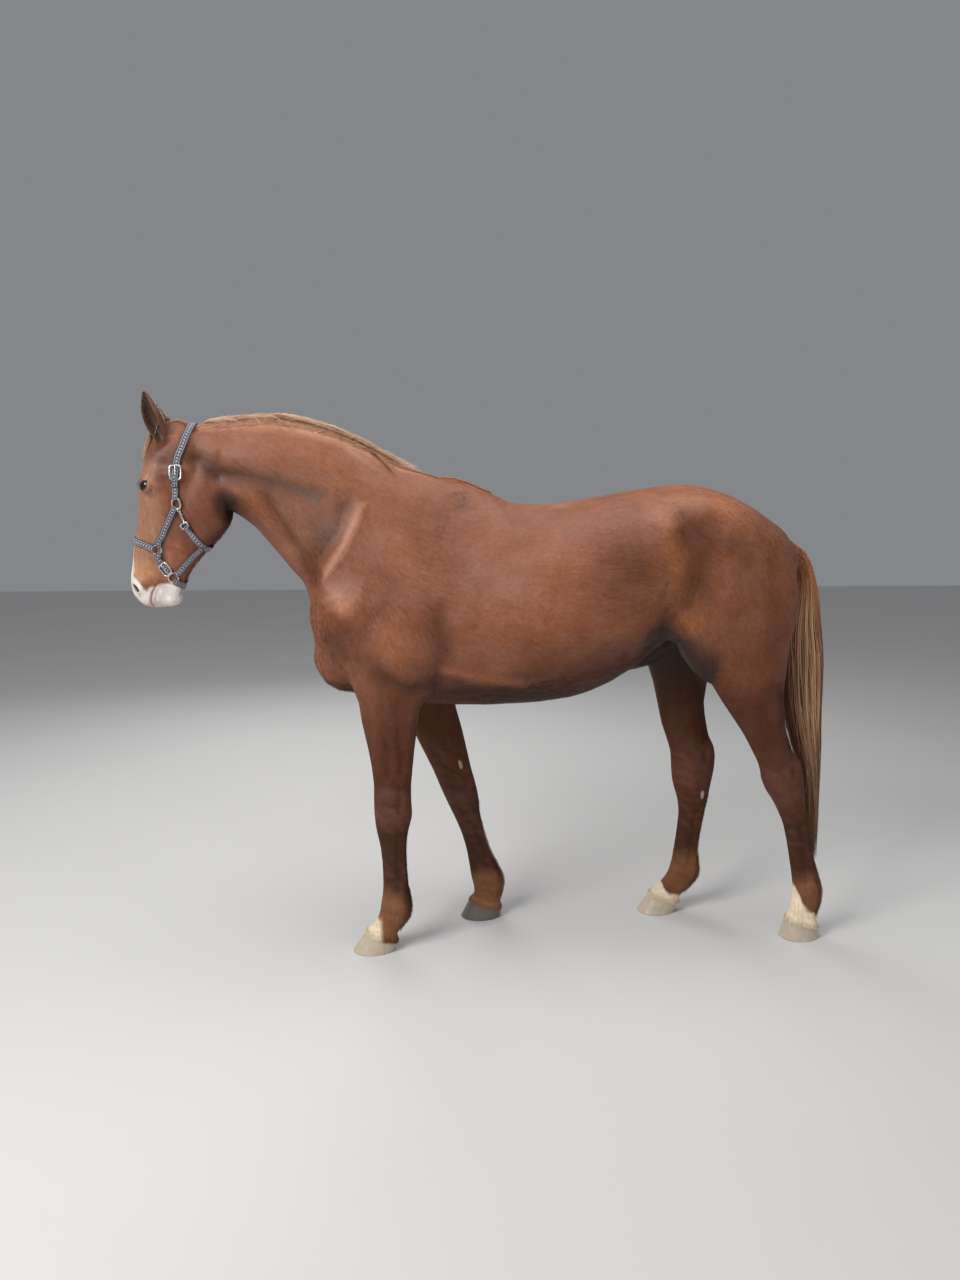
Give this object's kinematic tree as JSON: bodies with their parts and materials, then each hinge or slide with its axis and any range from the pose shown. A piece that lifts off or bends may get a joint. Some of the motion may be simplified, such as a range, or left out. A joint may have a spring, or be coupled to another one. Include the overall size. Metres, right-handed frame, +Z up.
{
  "type": "standing horse",
  "caption": "Life-size standing chestnut riding horse with short mane, long flaxen tail, white blaze and socks, wearing a webbing headcollar.",
  "frame": {"origin": "centre of the bounding box's footprint, at floor level under the hooves", "axes": "-X is the way the horse faces, -Y its left side, +Z up"},
  "size_m": [2.5024, 0.6116, 1.9629],
  "materials": {
    "chestnut_coat": "short hair",
    "leg_coat": "short hair",
    "mane_hair": "coarse hair",
    "tail_hair": "coarse hair",
    "pale_horn": "satin horn",
    "dark_horn": "satin horn",
    "eye_brown": "wet gloss",
    "grey_webbing": "woven",
    "bright_steel": "polished"
  },
  "bodies": {
    "root": {"buckle_chin": "bright_steel", "buckle_crown_left": "bright_steel", "buckle_crown_right": "bright_steel", "ear_left": "chestnut_coat", "ear_right": "chestnut_coat", "eye_left": "eye_brown", "eye_right": "eye_brown", "forehoof_left": "pale_horn", "forehoof_right": "dark_horn", "foreleg_left_lower": "leg_coat", "foreleg_left_upper": "chestnut_coat", "foreleg_right_lower": "leg_coat", "foreleg_right_upper": "chestnut_coat", "forelock": "mane_hair", "head": "chestnut_coat", "hindhoof_left": "pale_horn", "hindhoof_right": "pale_horn", "hindleg_left_lower": "leg_coat", "hindleg_left_upper": "chestnut_coat", "hindleg_right_lower": "leg_coat", "hindleg_right_upper": "chestnut_coat", "loop_throat": "bright_steel", "mane": "mane_hair", "neck": "chestnut_coat", "ring_cheek_left": "bright_steel", "ring_cheek_right": "bright_steel", "ring_chin": "bright_steel", "ring_nose_left": "bright_steel", "ring_nose_right": "bright_steel", "snap_throat": "bright_steel", "strap_adjust": "grey_webbing", "strap_cheek_left": "grey_webbing", "strap_cheek_right": "grey_webbing", "strap_chin": "grey_webbing", "strap_crown": "grey_webbing", "strap_drop_left": "grey_webbing", "strap_drop_right": "grey_webbing", "strap_jaw": "grey_webbing", "strap_nose": "grey_webbing", "strap_throat": "grey_webbing", "tail": "tail_hair", "trunk": "chestnut_coat"}
  },
  "joints": []
}
